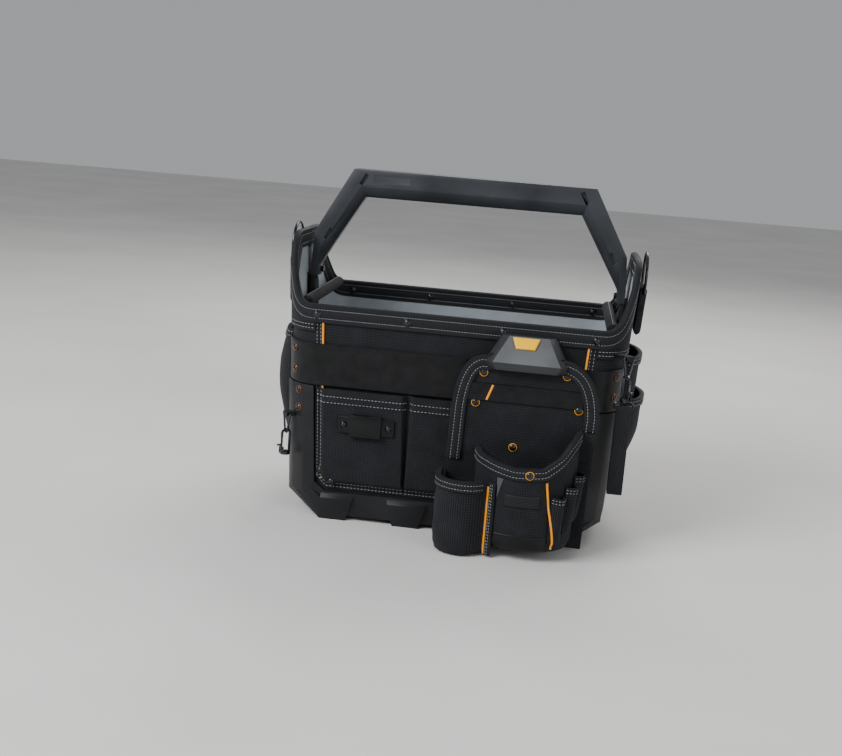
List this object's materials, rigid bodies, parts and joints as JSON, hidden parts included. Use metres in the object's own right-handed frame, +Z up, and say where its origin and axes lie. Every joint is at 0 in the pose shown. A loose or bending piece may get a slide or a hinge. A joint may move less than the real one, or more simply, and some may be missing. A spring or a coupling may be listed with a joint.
{
  "type": "open top tool tote",
  "caption": "Open top cloth tool tote on a moulded footed base, with an angular arched handle, outside pockets, snap hooks and a clip-on pouch.",
  "frame": {"origin": "under the middle of the whole part's box, at floor level", "axes": "+X to the right end, +Y to the back, +Z up; the pouch is on the front, towards the right"},
  "size_m": [0.4686, 0.3414, 0.42],
  "materials": {
    "black_cloth": "coarse ballistic weave",
    "smooth_band": "smooth coated",
    "lining": "plain weave",
    "base_plastic": "fine grain",
    "handle_plastic": "satin",
    "hub_plastic": "satin",
    "yellow_plastic": "semi-gloss",
    "foam": "soft and matt",
    "steel": "gunmetal plating",
    "black_steel": "black powder coat",
    "webbing": "ribbed webbing"
  },
  "bodies": {
    "tote": {"body_shell": "black_cloth", "rim_binding": "black_cloth", "end_collar_left": "black_cloth", "end_collar_right": "black_cloth", "front_pocket_left": "black_cloth", "front_pocket_middle": "black_cloth", "front_pocket_right": "black_cloth", "end_pocket_left": "black_cloth", "end_pocket_left_binding": "black_cloth", "end_pocket_right": "black_cloth", "end_pocket_right_binding": "black_cloth", "end_pocket_right_front": "black_cloth", "end_pocket_right_front_binding": "black_cloth", "pouch_back": "black_cloth", "pouch_back_binding": "black_cloth", "pouch_pocket_main": "black_cloth", "pouch_pocket_binding": "black_cloth", "pouch_pocket_left": "black_cloth", "pouch_pocket_left_binding": "black_cloth", "pouch_slot_1": "black_cloth", "pouch_slot_2": "black_cloth", "pouch_slot_3": "black_cloth", "front_band": "smooth_band", "pouch_label": "smooth_band", "lining": "lining", "base_tray": "base_plastic", "handle_frame": "handle_plastic", "pouch_hub": "hub_plastic", "pouch_button": "yellow_plastic", "end_bar_left": "foam", "end_bar_right": "foam", "handle_bracket_left": "foam", "handle_bracket_right": "foam", "handle_bolt_left": "steel", "handle_bolt_right": "steel", "strap_ring_left": "steel", "strap_ring_right": "steel", "hook_ring": "steel", "left_ring": "steel", "snap_hook": "steel", "left_hook": "steel", "clip_plate": "black_steel", "side_tab_left": "webbing", "side_tab_right": "webbing", "corner_tab": "webbing", "left_tab": "webbing"},
    "right_gate": {"hook_gate": "steel"},
    "swivel": {"swivel_eye": "steel", "loop_strap": "webbing"},
    "left_gate": {"left_gate": "steel"}
  },
  "joints": [
    {"name": "right_gate_hinge", "type": "hinge", "parent": "tote", "child": "right_gate", "pos_m": [0.20642, -0.08395, 0.1901], "axis": [-0.6735, -0.7392, 0], "range_deg": [0, 25], "stiffness_Nm_per_rad": 0.05, "springref_deg": -17.19},
    {"name": "left_gate_hinge", "type": "hinge", "parent": "tote", "child": "left_gate", "pos_m": [-0.20295, -0.07509, 0.0801], "axis": [-0.6062, 0.7953, 0], "range_deg": [0, 25], "stiffness_Nm_per_rad": 0.05, "springref_deg": -17.19},
    {"name": "swivel_turn", "type": "hinge", "parent": "tote", "child": "swivel", "pos_m": [0.20272, -0.08058, 0.1827], "axis": [0, 0, 1], "continuous": true}
  ]
}
